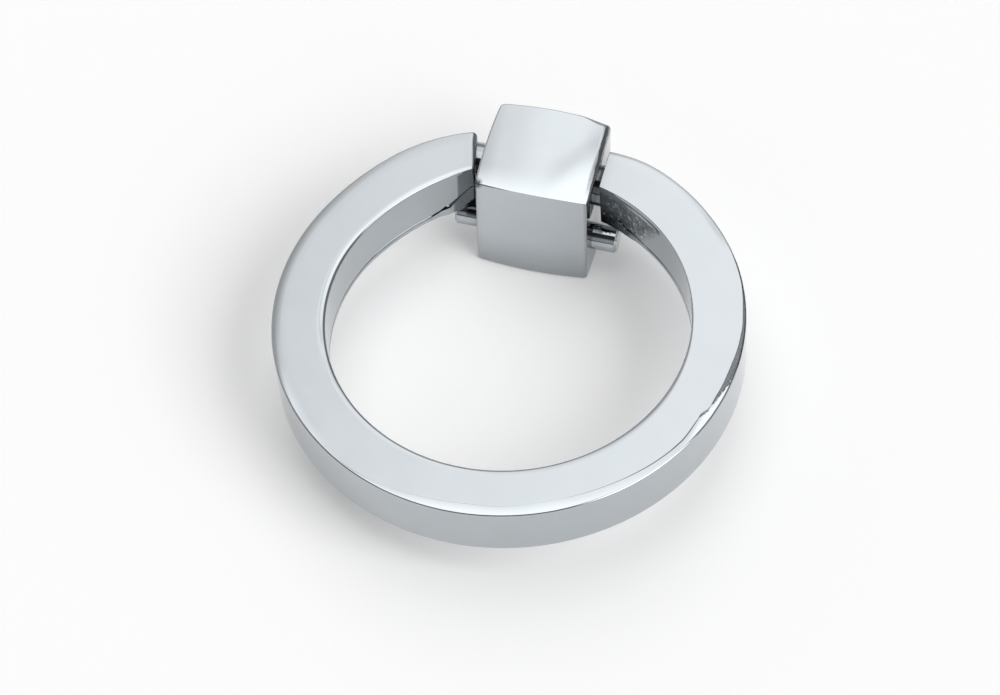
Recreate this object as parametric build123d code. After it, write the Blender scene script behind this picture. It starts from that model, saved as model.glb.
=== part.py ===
from build123d import *
import os
from math import cos, radians, sin, sqrt, tan

# Ring: outer diameter, section, and the chamfer on its rims
RING_OD = 76.2
RING_FACE = 8.68
RING_THICK = 9.55
RING_EDGE = 0.25

# Shallow fall of the ring's top face towards its outer edge, left by polishing
ROLL_WIDTH = 2.2
ROLL_DROP = 0.14

# Ends of the bar, which was closed round the post: from these places on, in degrees
# from +X, its edges leave the ring's circles on tangent arcs of their own. The left outer
# edge first spreads and then closes in.
LEFT_SPREAD_FROM = 157.0
LEFT_SPREAD_R = 45.4
LEFT_CLOSE_FROM = 138.2
LEFT_CLOSE_R = 28.4
LEFT_INNER_FROM = 152.0
LEFT_INNER_R = 36.0
RIGHT_CLOSE_FROM = 62.0
RIGHT_CLOSE_R = 21.8
BEND_REACH = 42.0

# Cuts of the bar's ends: gap beside the post at the pivot, turn of each cut
# and the rounding of the cuts' upright corners
LEFT_GAP = 1.98
LEFT_END_TURN = 11.0
RIGHT_GAP = 1.03
RIGHT_END_TURN = 1.0
END_ROUND = 0.4
LEFT_END_ROUND = 0.8

# How the ring hangs on its journals: its centre to the right of the post's, the bar's
# middle line in front of the journals, its front end down and its right side up
RING_LEAN = 2.37
BAR_FORWARD = 0.39
RING_DROOP = 1.36
RING_ROLL = 1.6

# Post: size at its corners and how far each face swells beyond them
POST_WIDTH = 18.8
POST_DEPTH = 17.45
POST_HEIGHT = 20.0
SIDE_CROWN = 0.25
FRONT_CROWN = 0.65
BACK_CROWN = 0.3
TOP_CROWN = 1.2
CORNER_ROUND = 0.6
TOP_ROUND = 0.4
BASE_EDGE = 0.25

# Pivot: journals on the ring's ends turning in a bore through the post
PIVOT_BEHIND_MIDDLE = 0.5
PIVOT_BELOW_CORNERS = 6.27
JOURNAL_R = 3.4
JOURNAL_DEPTH = 5.0
JOURNAL_EDGE = 0.3
RUNNING_CLEARANCE = 0.05

# Stop rod that the ring rests on, pressed through the post behind its front
ROD_R = 2.25
ROD_PROUD = 4.37
ROD_SETBACK = 4.57
ROD_EDGE = 0.35
REST_GAP = 0.02

# Threaded hole for the mounting screw, drawn at the tap drill's radius
SCREW_HOLE_R = 1.65
SCREW_HOLE_DEPTH = 8.0
SCREW_MOUTH = 0.5

half_w = POST_WIDTH / 2
half_d = POST_DEPTH / 2
top_z = POST_HEIGHT + TOP_CROWN
ring_r = RING_OD / 2
ring_inner_r = ring_r - RING_FACE
ring_mid_r = ring_r - RING_FACE / 2
left_end_x = half_w + LEFT_GAP
right_end_x = half_w + RIGHT_GAP
# Ring's centre in front of the pivot, which lies between the two cut ends
ring_reach = sqrt(ring_mid_r ** 2 - ((left_end_x + right_end_x) / 2) ** 2) + BAR_FORWARD
pivot = Pos(0, PIVOT_BEHIND_MIDDLE, POST_HEIGHT - PIVOT_BELOW_CORNERS)
bore_r = JOURNAL_R + RUNNING_CLEARANCE
rod_y = ROD_SETBACK - half_d
rod_half = half_w + ROD_PROUD
# Lowest point of the ring's underside over the rod, at the rod's left tip
rest_fall = rod_half * tan(radians(RING_ROLL)) + (pivot.position.Y - rod_y) * tan(radians(RING_DROOP))
rod_z = pivot.position.Z - RING_THICK / 2 - rest_fall - REST_GAP - ROD_R


def bar_across(radius, length):
    """Round bar along X."""
    return Rot(0, 90, 0) * Cylinder(radius, length)


def swollen_side(start, end, swell):
    """Arc from start to end whose middle stands out to the right of the walk by swell."""
    along = (end - start).normalized()
    outward = Vector(along.Y, -along.X, 0)
    return ThreePointArc(start, (start + end) / 2 + outward * swell, end)


def post_plan():
    """Outline of the post: four swollen sides and rounded corners."""
    front_left = Vector(-half_w, -half_d)
    front_right = Vector(half_w, -half_d)
    back_right = Vector(half_w, half_d)
    back_left = Vector(-half_w, half_d)
    plan = make_face(Wire([
        swollen_side(front_left, front_right, FRONT_CROWN),
        swollen_side(front_right, back_right, SIDE_CROWN),
        swollen_side(back_right, back_left, BACK_CROWN),
        swollen_side(back_left, front_left, SIDE_CROWN),
    ]))
    for corner in (front_left, front_right, back_right, back_left):
        plan = fillet(plan.vertices().sort_by_distance(corner)[0], CORNER_ROUND)
    return plan


def post_blank():
    """Solid block with swollen sides and a domed top."""
    corner_reach = sqrt(half_w ** 2 + half_d ** 2)
    dome_r = (corner_reach ** 2 + TOP_CROWN ** 2) / (2 * TOP_CROWN)
    body = extrude(post_plan(), 2 * top_z) & Pos(0, 0, top_z - dome_r) * Sphere(dome_r)
    body = fillet(body.faces().filter_by(GeomType.SPHERE)[0].edges(), TOP_ROUND)
    return chamfer(body.faces().sort_by(Axis.Z)[0].edges(), BASE_EDGE)


def post():
    """Post with its pivot bore, rod hole and screw hole."""
    body = post_blank()
    body -= pivot * bar_across(bore_r, 2 * POST_WIDTH)
    body -= Pos(0, rod_y, rod_z) * bar_across(ROD_R, 2 * POST_WIDTH)
    body -= Pos(0, 0, SCREW_HOLE_DEPTH / 2) * Cylinder(SCREW_HOLE_R, SCREW_HOLE_DEPTH)
    body -= Pos(0, 0, SCREW_MOUTH / 2) * Cone(SCREW_HOLE_R + SCREW_MOUTH, SCREW_HOLE_R, SCREW_MOUTH)
    return body


def next_centre(centre, radius, angle, next_r):
    """Centre of the arc of radius next_r that goes on tangentially from another at this angle."""
    return centre + Vector(cos(radians(angle)), sin(radians(angle))) * (radius - next_r)


def outer_arcs():
    """Arcs of the bar's outer edge from left to right: centre, radius, and angles it runs between."""
    middle = Vector(0, 0)
    spread = next_centre(middle, ring_r, LEFT_SPREAD_FROM, LEFT_SPREAD_R)
    close = next_centre(spread, LEFT_SPREAD_R, LEFT_CLOSE_FROM, LEFT_CLOSE_R)
    right = next_centre(middle, ring_r, RIGHT_CLOSE_FROM, RIGHT_CLOSE_R)
    return (
        (close, LEFT_CLOSE_R, LEFT_CLOSE_FROM - BEND_REACH, LEFT_CLOSE_FROM),
        (spread, LEFT_SPREAD_R, LEFT_CLOSE_FROM, LEFT_SPREAD_FROM),
        (middle, ring_r, LEFT_SPREAD_FROM, RIGHT_CLOSE_FROM + 360),
        (right, RIGHT_CLOSE_R, RIGHT_CLOSE_FROM, RIGHT_CLOSE_FROM + BEND_REACH),
    )


def bar_outline():
    """C-shaped outline of the bar about the ring's centre, its ends running on past the cuts."""
    outer = [CenterArc(centre, radius, start, end - start) for centre, radius, start, end in outer_arcs()]
    left_centre = next_centre(Vector(0, 0), ring_inner_r, LEFT_INNER_FROM, LEFT_INNER_R)
    left_inner = CenterArc(left_centre, LEFT_INNER_R, LEFT_INNER_FROM, -BEND_REACH)
    inner_sweep = 360 + RIGHT_CLOSE_FROM + BEND_REACH / 2 - LEFT_INNER_FROM
    inner = CenterArc((0, 0), ring_inner_r, LEFT_INNER_FROM, inner_sweep)
    left_close = Line(outer[0] @ 0, left_inner @ 1)
    right_close = Line(inner @ 1, outer[-1] @ 1)
    return make_face(Wire([*outer, left_close, left_inner, inner, right_close]))


def beside_cut(x, turn, kept):
    """Flat region on the post's side of the cut that passes x at the pivot."""
    return Pos(x, 0) * Rot(0, 0, turn) * Rectangle(ring_r, ring_r, align=(kept, Align.CENTER))


def ring_plan():
    """The bar's outline in the pivot's frame, with its ends cut and their corners rounded."""
    left = beside_cut(-left_end_x, LEFT_END_TURN, Align.MIN)
    right = beside_cut(right_end_x, RIGHT_END_TURN, Align.MAX)
    plan = Pos(RING_LEAN, -ring_reach) * bar_outline() - (left & right)
    cut_corners = plan.vertices().sort_by_distance((0, 0))[:4]
    outer_left = cut_corners.sort_by(Axis.X)[0]
    others = [Vector(v) for v in cut_corners if v != outer_left]
    plan = fillet(outer_left, LEFT_END_ROUND)
    for corner in others:
        plan = fillet(plan.vertices().sort_by_distance(corner)[0], END_ROUND)
    return plan


def polished_off(centre, edge_r, start, end):
    """What polishing took of the top face along one arc of the outer edge, chamfer included."""
    half_t = RING_THICK / 2
    flat_end = Vector(edge_r - ROLL_WIDTH, half_t)
    lip = Vector(edge_r - RING_EDGE, half_t - ROLL_DROP)
    past_wall = lip + Vector(2 * RING_EDGE, -2 * RING_EDGE)
    section = make_face(Wire([
        TangentArc(flat_end, lip, tangent=(1, 0)),
        Line(lip, past_wall),
        Line(past_wall, (past_wall.X, RING_THICK)),
        Line((past_wall.X, RING_THICK), (flat_end.X, RING_THICK)),
        Line((flat_end.X, RING_THICK), flat_end),
    ]))
    swept = revolve(Plane.XZ * section, Axis.Z, revolution_arc=end - start)
    return Pos(RING_LEAN, -ring_reach, 0) * Pos(centre) * Rot(0, 0, start) * swept


def journal(away, end_x):
    """Round journal from inside the ring's end into the post's bore, away to one side."""
    tip_x = half_w - JOURNAL_DEPTH
    root_x = end_x + JOURNAL_R / 2
    bar = bar_across(JOURNAL_R, root_x - tip_x)
    tip = bar.faces().sort_by(Axis.X)[0 if away > 0 else -1]
    return pivot * Pos(away * (root_x + tip_x) / 2, 0, 0) * chamfer(tip.edges(), JOURNAL_EDGE)


def ring():
    """C-shaped ring as it hangs, with its two journals on the pivot."""
    body = Pos(0, 0, -RING_THICK / 2) * extrude(ring_plan(), RING_THICK)
    rims = [e for e in body.edges() if e.bounding_box().size.Z < RING_THICK / 2]
    body = chamfer(rims, RING_EDGE)
    for arc in outer_arcs():
        body -= polished_off(*arc)
    body = pivot * Rot(RING_DROOP, 0, 0) * Rot(0, -RING_ROLL, 0) * body
    return body + journal(-1, left_end_x) + journal(1, right_end_x)


def stop_rod():
    """Round rod with its ends' edges chamfered."""
    bar = bar_across(ROD_R, 2 * rod_half)
    ends = bar.edges().filter_by(GeomType.CIRCLE)
    return Pos(0, rod_y, rod_z) * chamfer(ends, ROD_EDGE)


os.makedirs("parts", exist_ok=True)
for name, solid in (("post", post()), ("ring", ring()), ("stop_rod", stop_rod())):
    export_step(solid, f"parts/{name}.step")
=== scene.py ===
from math import atan2, cos, degrees, hypot, pi, radians, sin, sqrt

import bmesh
import bpy
from mathutils import Matrix, Vector, noise


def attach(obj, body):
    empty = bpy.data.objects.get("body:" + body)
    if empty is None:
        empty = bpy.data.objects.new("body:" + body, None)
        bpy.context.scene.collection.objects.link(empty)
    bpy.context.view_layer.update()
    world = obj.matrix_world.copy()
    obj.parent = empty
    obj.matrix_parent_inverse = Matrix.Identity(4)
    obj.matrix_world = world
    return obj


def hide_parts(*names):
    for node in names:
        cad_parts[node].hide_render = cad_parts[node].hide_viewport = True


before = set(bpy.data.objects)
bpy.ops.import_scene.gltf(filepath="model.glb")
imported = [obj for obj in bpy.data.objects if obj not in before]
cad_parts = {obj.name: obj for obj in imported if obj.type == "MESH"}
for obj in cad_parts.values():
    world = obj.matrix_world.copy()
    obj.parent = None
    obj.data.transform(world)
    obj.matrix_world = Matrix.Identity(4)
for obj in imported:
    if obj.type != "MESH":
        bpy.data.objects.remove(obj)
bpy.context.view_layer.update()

MM = 0.001

# Camera, in metres and degrees
CAMERA_AT = Vector((0.10914, -0.41154, 0.54950))
CAMERA_AZIMUTH = 15.9402
CAMERA_ELEVATION = 53.8694
CAMERA_ROLL = 1.7865
CAMERA_LENS = 148.89
SENSOR_WIDTH = 36.0

# Chrome: its colour, how dark painted shade makes it in closed-in corners, and how far in metres a
# corner reaches
CHROME = (0.497, 0.528, 0.552, 1.0)
CORNER_SHADE = 0.40
CORNER_REACH = 0.009
CORNER_SAMPLES = 8

# What all the chrome has: distances between bumps and their heights in mm, how much a cloudy
# film changes its roughness and tone, and its roughness where it is polished
SWELL_WAVE = 9
SWELL_HEIGHT = 0.05
LINE_WAVE = 0.35
LINE_HEIGHT = 0.0012
CLOUD_WAVE = 5
CLOUD_AMOUNT = 0.06
CLEAR_TONE = 0.97
POLISHED = 0.02
ROD_POLISHED = 0.03

# Marks on the ring: distances between grains and pits in mm, tone of the plate, how much it darkens
# towards the left, and where the rough part of the inner wall at the right end, with painted dark
# reflection on it, and the darkest part of that painted shade fade in, in degrees round from +X and
# in mm
GRAIN_WAVE = 0.28
PIT_WAVE = 0.9
RING_TONE = 0.965
LEFT_DARKENING = 0.08
ROUGH_SHADED_WALL_TURN = (52, 56)
ROUGH_SHADED_WALL_BACK = (100, 90)
ROUGH_SHADED_WALL_RADIUS = (29.9, 29.7)
ROUGH_SHADED_WALL_TOP = (17.8, 17.0)
ROUGH_SHADED_WALL_SLANT = 1.4
ROUGH_SHADED_WALL_SHIFT = 18.9
DARKEST_SHADE_TURN = (60, 66)
DARKEST_SHADE_TOP = (14.5, 12.5)
PIT_DEPTH = 0.06
GRAIN_DEPTH = 0.05

# Where the grainy grey band on the right edge starts and ends, in degrees, and how its start
# slants by so many degrees per mm from a radius in mm on
BAND_START = (-19, -15)
BAND_END = (33, 27)
BAND_SLANT = 12
BAND_SLANT_FROM = 36.75

# Marks on the post, in mm: middle and size of the nick and of the rubbed spot darkened by painted
# shade, and scratches
NICK_AT = (-9.15, -8.7, 19.9)
NICK_SIZE = 1.3
NICK_DEPTH = 0.25
RUBBED_SHADED_AT = (9.5, 1.0, 13.5)
RUBBED_SHADED_SIZE = 8.5
SCRATCH_WAVE = 0.35
SCRATCH_DEPTH = 0.05

# Marks on the rod: turning lines in mm, and specks
TURNING_WAVE = 0.22
TURNING_HEIGHT = 0.004
SPECK_SCALE = 1.1
SPECK_HEIGHT = 0.04

# Floor, in metres: its size, its colour, the glow that makes it white to look at, and how far
# it lies under the mounting face
FLOOR_SIZE = 6.0
FLOOR_ALBEDO = 0.8
FLOOR_GLOW = 0.22
FLOOR_DROP = 0.0001

# Brightness of the studio's parts
WHITE = 1.0
KEY_LIGHT = 4.7
HORIZON_LEVEL = 0.5
FRONT_LEVEL_LOW = 0.45
FRONT_LEVEL_HIGH = 0.05
BACK_LEVEL_LEFT = 0.62
BACK_LEVEL_RIGHT = 0.3
FAR_LEVEL_LEFT = 0.55
FAR_LEVEL_RIGHT = 0.3
SHEET_LEVEL = 1.02
SHEET_OVERHEAD = 1.95

# Where the sheet and the key light are, by x, y and z of the direction: they fade in from the
# first number to the second and out from the third to the fourth
SHEET_X = (-0.50, -0.38, 0.10, 0.18)
SHEET_Y = (-0.28, -0.18, 0.80, 0.90)
SHEET_Z = (0.0, 0.1)
KEY_X = (0.40, 0.50, 0.82, 0.92)
KEY_Y = (-0.62, -0.52, 0.04, 0.14)
KEY_Z = (0.30, 0.40)

# Ring, as in the part's source, in mm and degrees; its edges are drawn in by a hair, and its
# journals have their roots a little inside its ends
HAIR = 0.02
RING_R = 38.1
RING_FACE = 8.68
RING_THICK = 9.55
LEFT_SPREAD_FROM = 157.0
LEFT_SPREAD_R = 45.4
LEFT_CLOSE_FROM = 138.2
LEFT_CLOSE_R = 28.4
LEFT_INNER_FROM = 152.0
LEFT_INNER_R = 36.0
RIGHT_CLOSE_FROM = 62.0
RIGHT_CLOSE_R = 21.8
LEFT_CUT_X = -11.38
LEFT_CUT_TURN = 11.0
RIGHT_CUT_X = 10.43
RIGHT_CUT_TURN = 1.0
CENTRE = Vector((2.37, -32.34))
DROOP = 1.36
ROLL = 1.6
PIVOT = Vector((0, 0.5, 13.73))
JOURNAL_R = 3.4
JOURNAL_TIP_X = 4.4
JOURNAL_EDGE = 0.3
JOURNAL_ROOT = 1.7

# Ring's polished rims, in mm: their heights, the band that polishing left lower along the
# outer edge with the groove at its border, and how far in the top face starts to fall
RIM_HEIGHT = 0.4
RIM_BOTTOM = 0.4
RIM_LEAST = 0.03
BAND_SLOPE = 0.014
BAND_CURVE = 0.022
GROOVE = 0.05
SOFT_WIDTH = 1.7
SOFT_INNER = 0.9

# How things change along the bar, in mm: the value at the left end, and each later change
# as the directions it lies between, in degrees round from +X, and its amount
INNER_RIM = (0.2, (150, 172, 0.35), (203, 222, 0.55), (325, 380, -0.9))
OUTER_RIM = (0.45, (150, 185, -0.15), (385, 405, 0.15))
SOFT_DROP = (0.16, (200, 250, -0.16), (385, 402, 0.22))
INNER_DROP = (0.1, (195, 215, -0.1))
BAND_WIDTH = (0, (236, 277, 1.7), (296, 332, -0.75), (354, 366, -0.45), (364, 370, -0.2),
              (372, 384, -0.3))

# Wider and narrower places of the band: start, top and end in degrees, and the amount
BAND_BUMPS = ((274, 282, 290, -0.15), (286, 294, 303, 0.12), (331, 341, 344.5, 0.5),
              (344, 347, 352, 0.1))

# Where the band is dark and grainy
DARK_FROM = 340
DARK_TO = 392

# Parting line of the die on the inner wall: directions of its two ends, heights in mm over
# mid-thickness, and the step's least depth
LEDGE_LEFT = 115.7
LEDGE_RIGHT = 432.6
LEDGE_HEIGHT = 0.12
LEDGE_FALL = 3.15
LEDGE_TAIL = 0.72
LEDGE_STEP = 0.11

# Rounded edges of the ring's two cuts, in mm: at the inner and at the outer wall
LEFT_CUT_ROUND = (0.45, 1.0)
RIGHT_CUT_ROUND = (0.03, 0.08)

# Steps of each rounded rim, and of a circle
RIM_STEPS = 7
CIRCLE_SEGMENTS = 128

# Sections along the bar, and distances in mm of those close behind each cut, which round its
# edges; those at the right cut are this share of them
STATIONS = 840
BACKS = (1, 0.85, 0.7, 0.55, 0.42, 0.3, 0.2, 0.12, 0.06, 0.02, 0)
RIGHT_BACK_SHARE = 0.08

# Directions between which each cut is looked for, in degrees
LEFT_CUT_WINDOW = (95, 135)
RIGHT_CUT_WINDOW = (415, 445)

# Post, as in the part's source, in mm; its outline is drawn in by a hair, and its corner radii
# go round from the front left
HALF_W = 9.4
HALF_D = 8.725
TOP_Z = 21.19
TOP_CROWN = 1.2
SIDE_CROWN = 0.25
FRONT_CROWN = 0.65
BACK_CROWN = 0.3
BASE_EDGE = 0.25
BORE_R = 3.45
ROD_R = 2.25
ROD_Y = -4.155
ROD_Z = 6.19
HOLE_R = 1.65
HOLE_DEPTH = 8.0
HOLE_MOUTH = 0.5
CORNER_RADII = (0.6, 0.5, 0.7, 0.8)
POST_HAIR = 0.01

# Post's rounded top edge: setbacks in mm at the four corners, along the crisp part of the
# front and the left part of the back; its fall and its curve's pull as shares of the setback
TOP_SETBACKS = (0.32, 0.05, 1.15, 0.3)
CRISP_SETBACK = 0.05
BACK_SETBACK = 0.25
TOP_FALL = 0.65
EDGE_PULL = 0.55

# Half the length of the cutters for the post's two cross holes, in mm
CUTTER_HALF = 14

# Angle from which an edge shades as sharp, in degrees
SHARP_ANGLE = 32


def add_camera():
    """Camera at the photograph's viewing angle."""
    angles = (CAMERA_AZIMUTH, CAMERA_ELEVATION, CAMERA_ROLL)
    azimuth, elevation, roll = (radians(angle) for angle in angles)
    forward = Vector((-sin(azimuth) * cos(elevation),
                      cos(azimuth) * cos(elevation), -sin(elevation)))
    level_right = forward.cross(Vector((0, 0, 1))).normalized()
    level_up = level_right.cross(forward)
    right = cos(roll) * level_right - sin(roll) * level_up
    up = sin(roll) * level_right + cos(roll) * level_up
    camera = bpy.data.objects.new("camera", bpy.data.cameras.new("camera"))
    camera.data.lens = CAMERA_LENS
    camera.data.sensor_width = SENSOR_WIDTH
    turned = Matrix((right, up, -forward)).transposed().to_4x4()
    camera.matrix_world = Matrix.Translation(CAMERA_AT) @ turned
    bpy.context.scene.collection.objects.link(camera)
    bpy.context.scene.camera = camera


def new_material(name):
    """Empty node material: returns it with its node tree."""
    material = bpy.data.materials.new(name)
    material.use_nodes = True
    material.node_tree.nodes.clear()
    return material, material.node_tree


def node(tree, kind, **values):
    """Adds a node; values whose names are inputs go to those sockets, the others are settings."""
    made = tree.nodes.new(kind)
    for key, value in values.items():
        if key in made.inputs:
            made.inputs[key].default_value = value
        else:
            setattr(made, key, value)
    return made


def plug(tree, value, socket):
    """Sets a socket to a number or links it to an output."""
    if isinstance(value, (int, float)):
        socket.default_value = value
    else:
        tree.links.new(value, socket)


def math_node(tree, operation, a, b=None, clamp=False):
    """Math node on sockets or numbers; returns its output."""
    made = node(tree, "ShaderNodeMath", operation=operation, use_clamp=clamp)
    plug(tree, a, made.inputs[0])
    if b is not None:
        plug(tree, b, made.inputs[1])
    return made.outputs[0]


def times(tree, *values):
    """Product of sockets and numbers."""
    result = values[0]
    for value in values[1:]:
        result = math_node(tree, "MULTIPLY", result, value)
    return result


def add_up(tree, *values):
    """Sum of sockets and numbers."""
    result = values[0]
    for value in values[1:]:
        result = math_node(tree, "ADD", result, value)
    return result


def split_up(tree, vector):
    """A vector's x, y and z."""
    split = node(tree, "ShaderNodeSeparateXYZ")
    tree.links.new(vector, split.inputs[0])
    return split.outputs


def soft_step(tree, value, low, high):
    """0 at low, 1 at high, smooth between; low may be above high."""
    made = node(tree, "ShaderNodeMapRange", interpolation_type="SMOOTHSTEP")
    tree.links.new(value, made.inputs["Value"])
    made.inputs["From Min"].default_value = min(low, high)
    made.inputs["From Max"].default_value = max(low, high)
    if low > high:
        made.inputs["To Min"].default_value = 1.0
        made.inputs["To Max"].default_value = 0.0
    return made.outputs["Result"]


def between(tree, value, start, full, fading, end):
    """1 from full to fading, 0 before start and after end, smooth between."""
    return times(tree, soft_step(tree, value, start, full), soft_step(tree, value, end, fading))


def mix(tree, factor, a, b):
    """a where factor is 0, b where it is 1."""
    made = node(tree, "ShaderNodeMix", data_type="FLOAT")
    # Socket 0 is the factor; 2 and 3 are the two numbers
    for index, value in ((0, factor), (2, a), (3, b)):
        plug(tree, value, made.inputs[index])
    return made.outputs[0]


def seen_directly(tree):
    """1 for camera, glossy and transmission rays, 0 for the others."""
    path = node(tree, "ShaderNodeLightPath")
    total = math_node(tree, "ADD", path.outputs["Is Camera Ray"], path.outputs["Is Glossy Ray"])
    return math_node(tree, "ADD", total, path.outputs["Is Transmission Ray"], clamp=True)


def floor_material():
    """White floor that keeps the object's shadow and shows as white where nothing shades it."""
    material, tree = new_material("floor_white")
    shade = node(tree, "ShaderNodeBsdfDiffuse", Color=(FLOOR_ALBEDO,) * 3 + (1,))
    glow = node(tree, "ShaderNodeEmission", Color=(1, 1, 1, 1))
    strength = math_node(tree, "MULTIPLY", seen_directly(tree), FLOOR_GLOW)
    tree.links.new(strength, glow.inputs["Strength"])
    both = node(tree, "ShaderNodeAddShader")
    tree.links.new(shade.outputs[0], both.inputs[0])
    tree.links.new(glow.outputs[0], both.inputs[1])
    out = node(tree, "ShaderNodeOutputMaterial")
    tree.links.new(both.outputs[0], out.inputs["Surface"])
    return material


def add_floor():
    """Large plain floor at the mounting face."""
    half = FLOOR_SIZE / 2
    mesh = bpy.data.meshes.new("floor")
    corners = [(-half, -half, 0), (half, -half, 0), (half, half, 0), (-half, half, 0)]
    mesh.from_pydata(corners, [], [(0, 1, 2, 3)])
    mesh.materials.append(floor_material())
    floor = bpy.data.objects.new("floor", mesh)
    floor.location.z = -FLOOR_DROP
    bpy.context.scene.collection.objects.link(floor)


def room_level(tree, x, y, z):
    """Brightness of the dim room in a direction: dark high in front, paler behind to the left."""
    back = mix(tree, soft_step(tree, x, -0.1, 0.12), BACK_LEVEL_LEFT, BACK_LEVEL_RIGHT)
    front = mix(tree, soft_step(tree, z, 0.52, 0.70), FRONT_LEVEL_LOW, FRONT_LEVEL_HIGH)
    level = mix(tree, soft_step(tree, y, 0.05, 0.30), front, back)
    left = between(tree, x, -0.45, -0.33, 0.0, 0.10)
    far = mix(tree, left, FAR_LEVEL_RIGHT, FAR_LEVEL_LEFT)
    level = mix(tree, soft_step(tree, y, 0.80, 0.90), level, far)
    return mix(tree, soft_step(tree, z, 0.22, 0.08), level, HORIZON_LEVEL)


def sheet_level(tree, x, y):
    """Brightness of the pale sheet behind and above, with a dim seam and corner to the right."""
    tone = add_up(tree, SHEET_LEVEL, times(tree, 0.30, soft_step(tree, x, -0.40, -0.31)),
                  times(tree, 0.24, soft_step(tree, x, -0.31, -0.14)))
    along = math_node(tree, "SUBTRACT", y, times(tree, 1.3, x))
    aside = math_node(tree, "ABSOLUTE", math_node(tree, "SUBTRACT", along, 0.63))
    seam = times(tree, soft_step(tree, aside, 0.12, 0.02), soft_step(tree, x, -0.15, -0.04), 0.2)
    tone = math_node(tree, "SUBTRACT", tone, seam)
    corner = times(tree, soft_step(tree, x, -0.04, 0.03), soft_step(tree, y, 0.62, 0.70), 0.18)
    tone = math_node(tree, "SUBTRACT", tone, corner)
    bent = math_node(tree, "SUBTRACT", y, times(tree, 0.15, soft_step(tree, x, -0.12, 0.06)))
    return mix(tree, soft_step(tree, bent, 0.50, 0.34), tone, SHEET_OVERHEAD)


def add_world():
    """Soft studio round the object."""
    world = bpy.data.worlds.new("studio")
    world.use_nodes = True
    tree = world.node_tree
    tree.nodes.clear()
    x, y, z = split_up(tree, node(tree, "ShaderNodeTexCoord").outputs["Generated"])
    sheet = times(tree, between(tree, x, *SHEET_X), between(tree, y, *SHEET_Y),
                  soft_step(tree, z, *SHEET_Z))
    level = mix(tree, sheet, room_level(tree, x, y, z), sheet_level(tree, x, y))
    key = times(tree, between(tree, x, *KEY_X), between(tree, y, *KEY_Y),
                soft_step(tree, z, *KEY_Z))
    level = mix(tree, key, level, KEY_LIGHT)
    path = node(tree, "ShaderNodeLightPath")
    level = mix(tree, path.outputs["Is Camera Ray"], level, WHITE)
    shade = node(tree, "ShaderNodeBackground", Color=(1, 1, 1, 1))
    tree.links.new(level, shade.inputs["Strength"])
    out = node(tree, "ShaderNodeOutputWorld")
    tree.links.new(shade.outputs[0], out.inputs["Surface"])
    bpy.context.scene.world = world


def object_mm(tree):
    """Object coordinates in mm."""
    scaled = node(tree, "ShaderNodeVectorMath", operation="SCALE", Scale=1 / MM)
    tree.links.new(node(tree, "ShaderNodeTexCoord").outputs["Object"], scaled.inputs[0])
    return scaled.outputs[0]


def noise_mm(tree, where, wavelength, detail, stretch=(1, 1, 1)):
    """Noise from 0 to 1 whose bumps are about this many mm apart, longer along stretched axes."""
    turned = node(tree, "ShaderNodeMapping")
    tree.links.new(where, turned.inputs["Vector"])
    turned.inputs["Scale"].default_value = [1 / (wavelength * s) for s in stretch]
    made = node(tree, "ShaderNodeTexNoise", Scale=1.0, Detail=detail)
    tree.links.new(turned.outputs[0], made.inputs["Vector"])
    return made.outputs["Fac"]


def ball(tree, where, middle, radius):
    """1 in the middle of a ball, 0 outside it."""
    away = node(tree, "ShaderNodeVectorMath", operation="DISTANCE")
    tree.links.new(where, away.inputs[0])
    away.inputs[1].default_value = middle
    return soft_step(tree, away.outputs["Value"], radius, 0.3 * radius)


def chrome(name, special):
    """Polished chrome with painted shade in closed-in corners; special(tree, where) gives a piece's
    height, roughness and tone.
    """
    material, tree = new_material(name)
    where = object_mm(tree)
    height, rough, tone = special(tree, where)
    swell = times(tree, noise_mm(tree, where, SWELL_WAVE, 1.0), SWELL_HEIGHT)
    lines = times(tree, noise_mm(tree, where, LINE_WAVE, 2.0), LINE_HEIGHT)
    raised = node(tree, "ShaderNodeBump", Strength=1.0, Distance=MM)
    tree.links.new(add_up(tree, height, swell, lines), raised.inputs["Height"])
    cloud = times(tree, noise_mm(tree, where, CLOUD_WAVE, 4.0), CLOUD_AMOUNT)
    roughness = add_up(tree, rough, cloud)
    shade = node(tree, "ShaderNodeMix", data_type="RGBA", blend_type="MULTIPLY")
    # Socket 0 is the factor; 6 and 7 are the two colours
    shade.inputs[0].default_value = 1.0
    shade.inputs[6].default_value = CHROME
    grey = node(tree, "ShaderNodeCombineColor")
    # Painted shade: ambient occlusion darkens the colour where other surfaces come close, as in
    # corners and gaps
    near = node(tree, "ShaderNodeAmbientOcclusion", samples=CORNER_SAMPLES, Distance=CORNER_REACH)
    painted_corner_shade = mix(tree, near.outputs["AO"], CORNER_SHADE, 1.0)
    level = times(tree, tone, painted_corner_shade, add_up(tree, CLEAR_TONE, cloud))
    for channel in range(3):
        tree.links.new(level, grey.inputs[channel])
    tree.links.new(grey.outputs[0], shade.inputs[7])
    surface = node(tree, "ShaderNodeBsdfPrincipled", Metallic=1.0)
    tree.links.new(shade.outputs[2], surface.inputs["Base Color"])
    tree.links.new(roughness, surface.inputs["Roughness"])
    tree.links.new(raised.outputs[0], surface.inputs["Normal"])
    out = node(tree, "ShaderNodeOutputMaterial")
    tree.links.new(surface.outputs[0], out.inputs["Surface"])
    return material


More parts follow.
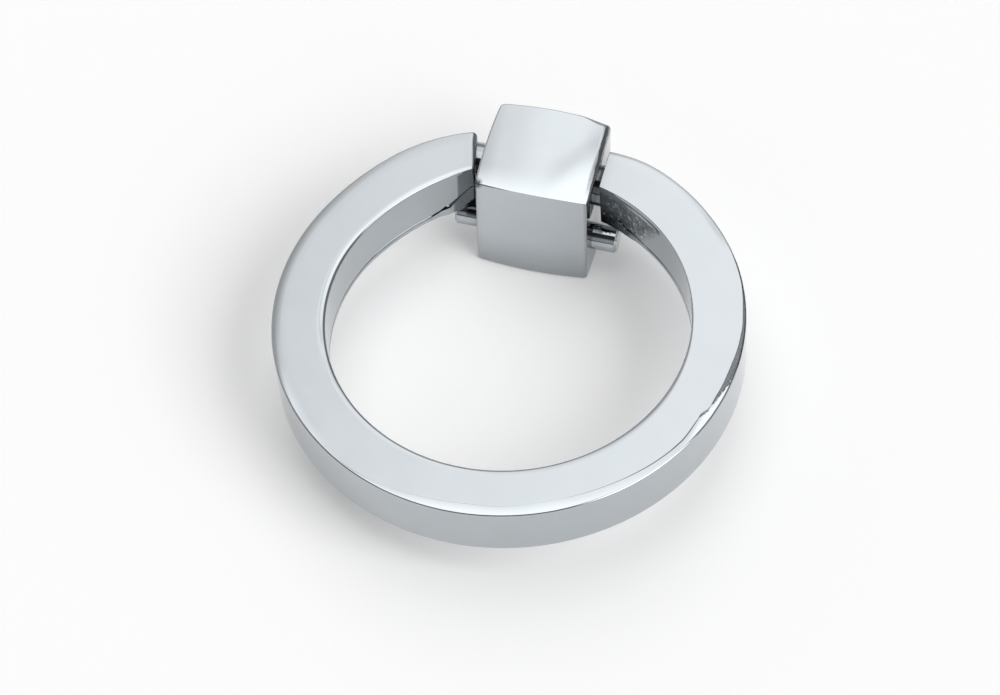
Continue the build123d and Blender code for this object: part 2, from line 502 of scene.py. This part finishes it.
def ring_finish(tree, where):
    """Grainy band on the right edge, rough inner wall at the right end with painted dark
    reflection, darker to the left.
    """
    object_x, object_y, z = split_up(tree, where)
    x = math_node(tree, "SUBTRACT", object_x, CENTRE.x)
    y = math_node(tree, "SUBTRACT", object_y, CENTRE.y + PIVOT.y)
    radius = math_node(tree, "SQRT", add_up(tree, times(tree, x, x), times(tree, y, y)))
    turn = times(tree, math_node(tree, "ARCTAN2", y, x), 180 / pi)
    grain = noise_mm(tree, where, GRAIN_WAVE, 3.0)
    pits = noise_mm(tree, where, PIT_WAVE, 4.0)
    ragged = add_up(tree, turn, times(tree, pits, 8), -4)
    band = node(tree, "ShaderNodeAttribute", attribute_name="band").outputs["Fac"]
    slanted = times(tree, add_up(tree, radius, -BAND_SLANT_FROM), BAND_SLANT)
    start = math_node(tree, "SUBTRACT", ragged, slanted)
    edge = times(tree, band, soft_step(tree, start, *BAND_START), soft_step(tree, turn, *BAND_END))
    # Mask of the rough wall at the right end, which also carries painted dark reflection in its
    # tone
    slant = add_up(tree, ragged, times(tree, z, ROUGH_SHADED_WALL_SLANT), -ROUGH_SHADED_WALL_SHIFT)
    wall = times(tree, soft_step(tree, radius, *ROUGH_SHADED_WALL_RADIUS),
                 soft_step(tree, slant, *ROUGH_SHADED_WALL_TURN), soft_step(tree, turn, *ROUGH_SHADED_WALL_BACK),
                 soft_step(tree, z, *ROUGH_SHADED_WALL_TOP))
    darkest_painted_shade = times(tree, soft_step(tree, turn, *DARKEST_SHADE_TURN), soft_step(tree, z, *DARKEST_SHADE_TOP))
    specks = times(tree, soft_step(tree, pits, 0.52, 0.60), soft_step(tree, grain, 0.50, 0.62))
    height = add_up(tree, times(tree, edge, grain, GRAIN_DEPTH),
                    times(tree, wall, pits, PIT_DEPTH))
    rough = add_up(tree, POLISHED, times(tree, edge, 0.2), times(tree, wall, 0.05))
    # The plate darkens towards the left
    left_darkening = times(tree, soft_step(tree, object_x, 5, -36), LEFT_DARKENING)
    tone = math_node(tree, "SUBTRACT", RING_TONE, left_darkening)
    tone = mix(tree, edge, tone, add_up(tree, 0.05, times(tree, grain, 0.5)))
    # Painted dark reflection on the rough wall, darkest near the end, with lighter specks in it
    tone = mix(tree, wall, tone, add_up(tree, mix(tree, darkest_painted_shade, 0.55, 0.2), times(tree, specks, 1.3)))
    return height, rough, tone


def post_finish(tree, where):
    """Nick at the front left top corner, scratched right side, and rubbed right side darkened by
    painted shade.
    """
    x, y, z = split_up(tree, where)
    grain = noise_mm(tree, where, 0.5, 3.0)
    nick = times(tree, ball(tree, where, NICK_AT, NICK_SIZE), soft_step(tree, grain, 0.30, 0.45))
    side = soft_step(tree, x, 8.5, 8.9)
    scratches = noise_mm(tree, where, SCRATCH_WAVE, 3.0, (1, 6, 1))
    scratched = times(tree, side, soft_step(tree, z, 17.5, 19), soft_step(tree, y, -8, -4))
    # Painted shade: the rubbed spot on the right side is darkened as well as roughened
    rubbed_and_shaded = times(tree, ball(tree, where, RUBBED_SHADED_AT, RUBBED_SHADED_SIZE), side)
    height = add_up(tree, times(tree, nick, grain, NICK_DEPTH),
                    times(tree, scratched, scratches, SCRATCH_DEPTH))
    rough = add_up(tree, POLISHED, times(tree, nick, 0.05), times(tree, rubbed_and_shaded, 0.08))
    lost = add_up(tree, times(tree, nick, 0.85), times(tree, rubbed_and_shaded, 0.6),
                  times(tree, scratched, add_up(tree, 0.2, scratches), 0.6))
    return height, rough, math_node(tree, "SUBTRACT", 1.0, lost, clamp=True)


def rod_finish(tree, where):
    """Turning lines round the rod, specks in the plate and painted shade on top, left of the post.
    """
    turning = noise_mm(tree, where, TURNING_WAVE, 2.0, (1, 30, 30))
    cells = node(tree, "ShaderNodeTexVoronoi", Scale=SPECK_SCALE)
    tree.links.new(where, cells.inputs["Vector"])
    specks = soft_step(tree, cells.outputs["Distance"], 0.16, 0.04)
    height = add_up(tree, times(tree, turning, TURNING_HEIGHT), times(tree, specks, SPECK_HEIGHT))
    x, _, z = split_up(tree, where)
    beside = times(tree, soft_step(tree, x, -12.2, -11.4), soft_step(tree, x, 0, -1))
    # Painted shade on the rod's top where the ring lies over it
    painted_shade_on_top = times(tree, beside, soft_step(tree, z, 7.2, 7.8), 0.8)
    return height, ROD_POLISHED, math_node(tree, "SUBTRACT", 1.0, painted_shade_on_top)


def smooth(value, low, high):
    """0 at low, 1 at high, smooth between."""
    t = min(max((value - low) / (high - low), 0), 1)
    return t * t * (3 - 2 * t)


def bump(value, low, top, high):
    """Rises from 0 at low to 1 at top and falls back to 0 at high."""
    return smooth(value, low, top) * (1 - smooth(value, top, high))


def unit(angle):
    """Unit vector in the plane at an angle in degrees."""
    return Vector((cos(radians(angle)), sin(radians(angle))))


def next_centre(centre, radius, angle, next_r):
    """Centre of the arc of radius next_r that goes on tangentially from another at this angle."""
    return centre + unit(angle) * (radius - next_r)


def reach(centre, radius, angle):
    """Distance from the origin to a circle in a direction."""
    along = centre.dot(unit(angle))
    return along + sqrt(radius ** 2 - centre.length_squared + along ** 2)


def outer_radius(angle):
    """Ring's outer edge in a direction seen from its centre."""
    middle = Vector((0, 0))
    spread = next_centre(middle, RING_R, LEFT_SPREAD_FROM, LEFT_SPREAD_R)
    close = next_centre(spread, LEFT_SPREAD_R, LEFT_CLOSE_FROM, LEFT_CLOSE_R)
    joint = spread + unit(LEFT_CLOSE_FROM) * LEFT_SPREAD_R
    radius = RING_R
    if angle < degrees(atan2(joint.y, joint.x)):
        radius = reach(close, LEFT_CLOSE_R, angle)
    elif angle < LEFT_SPREAD_FROM:
        radius = reach(spread, LEFT_SPREAD_R, angle)
    elif angle > RIGHT_CLOSE_FROM + 360:
        right = next_centre(middle, RING_R, RIGHT_CLOSE_FROM, RIGHT_CLOSE_R)
        radius = reach(right, RIGHT_CLOSE_R, angle)
    return radius - HAIR


def inner_radius(angle):
    """Ring's inner edge in a direction seen from its centre."""
    inner = RING_R - RING_FACE
    if angle < LEFT_INNER_FROM:
        left = next_centre(Vector((0, 0)), inner, LEFT_INNER_FROM, LEFT_INNER_R)
        return reach(left, LEFT_INNER_R, angle)
    return inner


def edge_point(radius_at, angle):
    """Point of an edge in the pivot's frame."""
    return CENTRE + unit(angle) * radius_at(angle)


def cut_angle(radius_at, x, turn, low, high):
    """Direction in which an edge meets the cut that passes x at the pivot, found by halving."""
    across = unit(turn)
    for _ in range(50):
        middle = (low + high) / 2
        # The edge lies past the cut on its way to the post
        if (edge_point(radius_at, middle) - Vector((x, 0))).dot(across) < 0:
            high = middle
        else:
            low = middle
    return (low + high) / 2


def at_angle(table, angle):
    """Value of something that changes along the bar, in a direction."""
    start, *changes = table
    return start + sum(amount * smooth(angle, low, high) for low, high, amount in changes)


def band_width(angle):
    """Width of the band along the outer edge that polishing left lower."""
    width = at_angle(BAND_WIDTH, angle)
    width += sum(amount * bump(angle, *places) for *places, amount in BAND_BUMPS)
    coarse = 0.06 * noise.noise(Vector((angle * 0.35, 3.1, 0)))
    fine = 0.03 * noise.noise(Vector((angle * 0.9, 7.7, 0)))
    return max(width + (coarse + fine) * bump(angle, 300, 340, 378), 0)


def ledge(angle):
    """Height of the die's parting line on the inner wall over mid-thickness, and its step."""
    from_right = LEDGE_RIGHT - angle
    near = min(angle - LEDGE_LEFT, from_right * 0.87)
    ramp = min(max((near - 0.8) / 7.2, 0), 1)
    height = LEDGE_HEIGHT - LEDGE_FALL * ramp - LEDGE_TAIL * smooth(near, 8, 16)
    step = LEDGE_STEP + 0.25 * bump(near, 1, 9, 12)
    step += 0.06 * smooth(near, 10, 13) - 0.12 * smooth(near, 28, 45)
    return height, step * (0.5 + 0.5 * smooth(from_right, 30, 60))


def quarter(u, z, radius_u, radius_z, start):
    """Points of a quarter of an ellipse about u, z, clockwise from an angle."""
    angles = [radians(start - 90 * k / RIM_STEPS) for k in range(RIM_STEPS + 1)]
    return [(u + radius_u * cos(a), z + radius_z * sin(a)) for a in angles]


def run(start, end, steps):
    """Points between two others, with one close to each so that shading stays flat."""
    length = hypot(end[0] - start[0], end[1] - start[1])
    near = min(0.02 / max(length, 0.001), 0.2)
    shares = [near] + [k / steps for k in range(1, steps)] + [1 - near]
    du, dz = end[0] - start[0], end[1] - start[1]
    return [(start[0] + du * share, start[1] + dz * share) for share in shares]


def profile(width, angle, inner_angle, inset_inner, inset_outer):
    """Closed section of the bar, clockwise from the inner wall.

    Each point is u outwards, z over mid-thickness, and 1 in the dark band or else 0.
    """
    half = RING_THICK / 2
    rim_in = max(at_angle(INNER_RIM, inner_angle) - inset_inner, RIM_LEAST)
    rim_out = max(at_angle(OUTER_RIM, angle) - inset_outer, RIM_LEAST)
    soft_fall, inner_fall = at_angle(SOFT_DROP, angle), at_angle(INNER_DROP, inner_angle)
    bottom = RIM_BOTTOM * (0.35 + 0.65 * smooth(inner_angle, 124, 134))
    low_in = max(bottom - inset_inner, RIM_LEAST)
    low_out = max(RIM_BOTTOM - inset_outer, RIM_LEAST)
    band = min(band_width(angle), width / 2)
    border = width - rim_out - band
    steep = 1 + 1.4 * smooth(angle, 326, 346)
    dark_edge = DARK_FROM < angle < DARK_TO

    def top(u):
        """Height of the top face over mid-thickness."""
        soft = max((u - width + rim_out + SOFT_WIDTH) / SOFT_WIDTH, 0)
        inside = max((rim_in + SOFT_INNER - u) / SOFT_INNER, 0)
        past = max(u - border, 0)
        fall = soft_fall * soft ** 2 + inner_fall * inside ** 2
        return half - fall - steep * (BAND_SLOPE + BAND_CURVE * past) * past

    groove = min(GROOVE * (1 + 1.4 * bump(angle, 308, 332, 345)), band / 4 + 0.005)
    hollow, end = border + groove, border + 2 * groove
    outer_top = width - rim_out
    low_rim = top(rim_in) - RIM_HEIGHT
    points = quarter(rim_in, low_rim, rim_in, RIM_HEIGHT, 180)
    points += [(u, top(u)) for u, _ in run((rim_in, half), (rim_in + SOFT_INNER, half), 6)]
    points += [(u, top(u)) for u, _ in run((rim_in + SOFT_INNER, half), (border, half), 10)]
    points += [(border, top(border)), (hollow, top(hollow) - 0.45 * groove), (end, top(end))]
    band_from = len(points) - 1
    points += [(u, top(u)) for u, _ in run((end, 0), (outer_top, 0), 8)]
    points += quarter(outer_top, top(outer_top) - rim_out, rim_out, rim_out, 90)
    band_to = len(points) - 2
    points += run((width, top(outer_top) - rim_out), (width, low_out - half), 6)
    points += quarter(width - low_out, low_out - half, low_out, low_out, 0)
    height, step = ledge(inner_angle)
    points += run((width - low_out, -half), (low_in - step, -half), 4)
    points += quarter(low_in - step, low_in - half, low_in, low_in, -90)
    points += run((-step, low_in - half), (-step, height), 4)
    points += [(-step, height), (0, height + step * 0.1)]
    points += run((0, height + step * 0.1), (0, low_rim), 5)
    return [(u, z, float(dark_edge and band_from <= index < band_to))
            for index, (u, z) in enumerate(points)]


def section(angle, inner_angle, inset_inner, inset_outer):
    """Section of the bar between its edges, drawn in by the insets: points and band marks."""
    outer, inner = edge_point(outer_radius, angle), edge_point(inner_radius, inner_angle)
    across = (outer - inner).normalized()
    width = (outer - inner).length - inset_inner - inset_outer
    points = []
    for u, z, band in profile(width, angle, inner_angle, inset_inner, inset_outer):
        share = min(max(u / width, 0), 1)
        depth = inset_inner + (inset_outer - inset_inner) * share
        flat = inner + across * (u + inset_inner)
        points.append((Vector((flat.x, flat.y, z * (1 - depth / (RING_THICK / 2)))), band))
    return points


def edge_inset(radius, back):
    """Inset of a rounded edge of this radius at a distance back from the flat."""
    return radius - sqrt(radius ** 2 - (radius - back) ** 2) if back < radius else 0.0


def cut_section(x, turn, window, rounding, back):
    """Section parallel to a cut, back from it, with the cut's rounded edges: angles and insets."""
    away = x + (-back if x < 0 else back)
    angle = cut_angle(outer_radius, away, turn, *window)
    inner_angle = cut_angle(inner_radius, away, turn, *window)
    radius_inner, radius_outer = rounding
    return angle, inner_angle, edge_inset(radius_inner, back), edge_inset(radius_outer, back)


def ring_rows():
    """All sections of the bar from its left cut to its right one, in the pivot's frame."""
    left = [cut_section(LEFT_CUT_X, LEFT_CUT_TURN, LEFT_CUT_WINDOW, LEFT_CUT_ROUND, back)
            for back in reversed(BACKS)]
    right = [cut_section(RIGHT_CUT_X, RIGHT_CUT_TURN, RIGHT_CUT_WINDOW, RIGHT_CUT_ROUND,
                         RIGHT_BACK_SHARE * back) for back in BACKS]
    first, last = left[-1], right[0]
    stretch = []
    for station in range(1, STATIONS):
        t = station / STATIONS
        angle, inner_angle = (first[k] + (last[k] - first[k]) * t for k in range(2))
        stretch.append((angle, inner_angle, 0.0, 0.0))
    return [section(*row) for row in left + stretch + right]


def tube(rings):
    """Vertices and faces of a closed tube through rings of equally many points."""
    count = len(rings[0])
    vertices = [point for ring in rings for point in ring]
    faces = []
    for row in range(len(rings) - 1):
        low, high = row * count, (row + 1) * count
        for k in range(count):
            after = (k + 1) % count
            faces.append((low + k, low + after, high + after, high + k))
    faces.append(tuple(reversed(range(count))))
    faces.append(tuple(range((len(rings) - 1) * count, len(rings) * count)))
    return vertices, faces


def circle_x(x, radius, y, z):
    """Points of a circle about an axis along X."""
    turns = [2 * pi * k / CIRCLE_SEGMENTS for k in range(CIRCLE_SEGMENTS)]
    return [Vector((x, y + radius * cos(turn), z + radius * sin(turn))) for turn in turns]


def make_object(name, parts):
    """Object from pairs of vertices in mm and faces, its normals turned outwards."""
    shape = bmesh.new()
    for vertices, faces in parts:
        made = [shape.verts.new(point * MM) for point in vertices]
        for face in faces:
            shape.faces.new([made[index] for index in face])
    bmesh.ops.recalc_face_normals(shape, faces=shape.faces)
    mesh = bpy.data.meshes.new(name)
    shape.to_mesh(mesh)
    shape.free()
    piece = bpy.data.objects.new(name, mesh)
    bpy.context.scene.collection.objects.link(piece)
    return piece


def finish_piece(piece, body, node_name, material):
    """Shades a piece smoothly, gives it its material and lets it ride in place of a CAD node."""
    mesh = piece.data
    mesh.polygons.foreach_set("use_smooth", [True] * len(mesh.polygons))
    mesh.set_sharp_from_angle(angle=radians(SHARP_ANGLE))
    mesh.materials.clear()
    mesh.materials.append(material)
    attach(piece, body)
    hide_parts(node_name)


def add_ring(material):
    """Ring with polished rims, rounded ends, the die's parting line and its two journals."""
    rows = ring_rows()
    vertices, faces = tube([[point for point, _ in row] for row in rows])
    tilt = Matrix.Rotation(radians(DROOP), 3, "X") @ Matrix.Rotation(radians(-ROLL), 3, "Y")
    parts = [([tilt @ point + PIVOT for point in vertices], faces)]
    for away, root_x in ((-1, LEFT_CUT_X - JOURNAL_ROOT), (1, RIGHT_CUT_X + JOURNAL_ROOT)):
        steps = ((root_x, JOURNAL_R), (away * (JOURNAL_TIP_X + JOURNAL_EDGE), JOURNAL_R),
                 (away * JOURNAL_TIP_X, JOURNAL_R - JOURNAL_EDGE))
        parts.append(tube([circle_x(x, radius, PIVOT.y, PIVOT.z) for x, radius in steps]))
    piece = make_object("ring_bar", parts)
    marks = [band for row in rows for _, band in row]
    marks += [0.0] * (len(piece.data.vertices) - len(marks))
    piece.data.attributes.new("band", "FLOAT", "POINT").data.foreach_set("value", marks)
    finish_piece(piece, "swing", "ring", material)


def swell_gap(across, along, half, crown):
    """Signed distance to a side that stands half away from the middle and swells by crown."""
    span = HALF_W if half == HALF_D else HALF_D
    radius = (span ** 2 + crown ** 2) / (2 * crown)
    return hypot(across, along - (half + crown - radius)) - radius


def by_corner(values, x, y):
    """Blend of four corner values, given round from the front left."""
    share_x = min(max((x + HALF_W) / (2 * HALF_W), 0), 1)
    share_y = min(max((y + HALF_D) / (2 * HALF_D), 0), 1)
    front = values[0] + (values[1] - values[0]) * share_x
    back = values[3] + (values[2] - values[3]) * share_x
    return front + (back - front) * share_y


def plan_gap(x, y, inset):
    """Signed distance to the post's outline with its rounded corners, drawn in by an inset."""
    radius = max(by_corner(CORNER_RADII, x, y) - inset / 2, 0.2)
    a = swell_gap(y, abs(x), HALF_W, SIDE_CROWN) + inset + radius
    b = swell_gap(x, abs(y), HALF_D, FRONT_CROWN if y < 0 else BACK_CROWN) + inset + radius
    return min(max(a, b), 0) + hypot(max(a, 0), max(b, 0)) - radius + POST_HAIR


def perimeter_seeds():
    """Points round the post's rectangle, close together at its corners."""
    fine = [0.1 * k for k in range(16)] + [1.7, 2.1, 2.7, 3.4, 4.2]
    seeds = []
    corners = ((-HALF_W, -HALF_D), (HALF_W, -HALF_D), (HALF_W, HALF_D), (-HALF_W, HALF_D))
    for index, corner in enumerate(corners):
        start, end = Vector(corner), Vector(corners[(index + 1) % 4])
        length = (end - start).length
        middle = [4.2 + (length - 8.4) * k / 14 for k in range(1, 14)]
        stops = fine + middle + [length - stop for stop in reversed(fine[1:])]
        seeds += [start + (end - start) * (stop / length) for stop in stops]
    return seeds


def outline_point(seed, inset):
    """Point of the post's outline, drawn in by an inset, in the direction of a seed."""
    direction = seed.normalized()
    low, high = 5.0, 15.0
    for _ in range(40):
        middle = (low + high) / 2
        if plan_gap(direction.x * middle, direction.y * middle, inset) < 0:
            low = middle
        else:
            high = middle
    return direction * low


def on_dome(point):
    """Point of the dome over a point of the plan, and the way down along it."""
    corner_reach = hypot(HALF_W, HALF_D)
    dome_r = (corner_reach ** 2 + TOP_CROWN ** 2) / (2 * TOP_CROWN)
    rise = sqrt(dome_r ** 2 - point.length_squared)
    return Vector((point.x, point.y, TOP_Z - dome_r + rise)), -point.length / rise


def soft_edge(side, rim, fall, share):
    """Point of the rounded top edge, from the side (share 0) to the dome (share 1)."""
    outer, _ = on_dome(side)
    inner, slope = on_dome(rim)
    setback = (side - rim).length
    flat = (side - rim) / setback
    low = outer - Vector((0, 0, fall))
    low_pull = low + Vector((0, 0, EDGE_PULL * fall))
    outwards = Vector((flat.x, flat.y, slope * flat.dot(rim.normalized())))
    rim_pull = inner + outwards * EDGE_PULL * setback
    rest = 1 - share
    near_low = low * rest ** 3 + low_pull * (3 * rest ** 2 * share)
    return near_low + rim_pull * (3 * rest * share ** 2) + inner * share ** 3


def top_setback(point):
    """Setback of the rounded top edge, crisp along the front but for its left third."""
    around = by_corner(TOP_SETBACKS, point.x, point.y)
    front = CRISP_SETBACK + (TOP_SETBACKS[0] - CRISP_SETBACK) * (1 - smooth(point.x, -8, -2))
    back = BACK_SETBACK + (TOP_SETBACKS[2] - BACK_SETBACK) * smooth(point.x, 4, 9)
    around += (front - around) * smooth(-point.y, HALF_D - 0.6, HALF_D)
    return around + (back - around) * smooth(point.y, HALF_D - 0.6, HALF_D)


def post_rows():
    """Rings of points from the screw hole's end over the base, the sides and the dome."""
    seeds = perimeter_seeds()
    sides = [outline_point(seed, 0) for seed in seeds]
    setbacks = [top_setback(side) for side in sides]
    rims = [outline_point(seed, setback) for seed, setback in zip(seeds, setbacks)]
    rows = []
    mouth_r = HOLE_R + HOLE_MOUTH
    for radius, z in ((HOLE_R, HOLE_DEPTH), (HOLE_R, HOLE_MOUTH), (mouth_r, 0)):
        rows.append([(side.normalized() * radius).to_3d() + Vector((0, 0, z)) for side in sides])
    feet = [outline_point(seed, BASE_EDGE) for seed in seeds]
    for share in (0.4, 0.75, 1):
        rows.append([(foot.normalized() * mouth_r).lerp(foot, share).to_3d() for foot in feet])
    edges = [[soft_edge(side, rim, setback * TOP_FALL, k / 10)
              for side, rim, setback in zip(sides, rims, setbacks)] for k in range(11)]
    # Rows close to an edge keep the shading flat up to it
    for share in [0, 0.002] + [k / 12 for k in range(1, 12)] + [0.998]:
        rows.append([Vector((low.x, low.y, BASE_EDGE + (low.z - BASE_EDGE) * share))
                     for low in edges[0]])
    rows += edges
    for share in [0.998] + [1 - k / 30 for k in range(1, 30)] + [0.01]:
        rows.append([on_dome(rim * share)[0] for rim in rims])
    return rows


def bore(piece, radius, y, z):
    """Cuts a round hole along X through a piece."""
    ends = [circle_x(x, radius, y, z) for x in (-CUTTER_HALF, CUTTER_HALF)]
    cutter = make_object("cutter", [tube(ends)])
    cut = piece.modifiers.new("bore", "BOOLEAN")
    cut.operation = "DIFFERENCE"
    cut.solver = "EXACT"
    cut.object = cutter
    evaluated = piece.evaluated_get(bpy.context.evaluated_depsgraph_get())
    result = bpy.data.meshes.new_from_object(evaluated)
    piece.modifiers.clear()
    piece.data = result
    bpy.data.objects.remove(cutter)


def add_post(material):
    """Post with polished edges of uneven softness, its bore, rod hole and screw hole."""
    piece = make_object("post_body", [tube(post_rows())])
    bore(piece, BORE_R, PIVOT.y, PIVOT.z)
    bore(piece, ROD_R, ROD_Y, ROD_Z)
    finish_piece(piece, "base", "post", material)


bpy.context.scene.view_settings.view_transform = "Standard"
add_camera()
add_world()
add_floor()
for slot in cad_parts["stop_rod"].material_slots:
    slot.material = chrome("rod_chrome", rod_finish)
add_ring(chrome("ring_chrome", ring_finish))
add_post(chrome("post_chrome", post_finish))
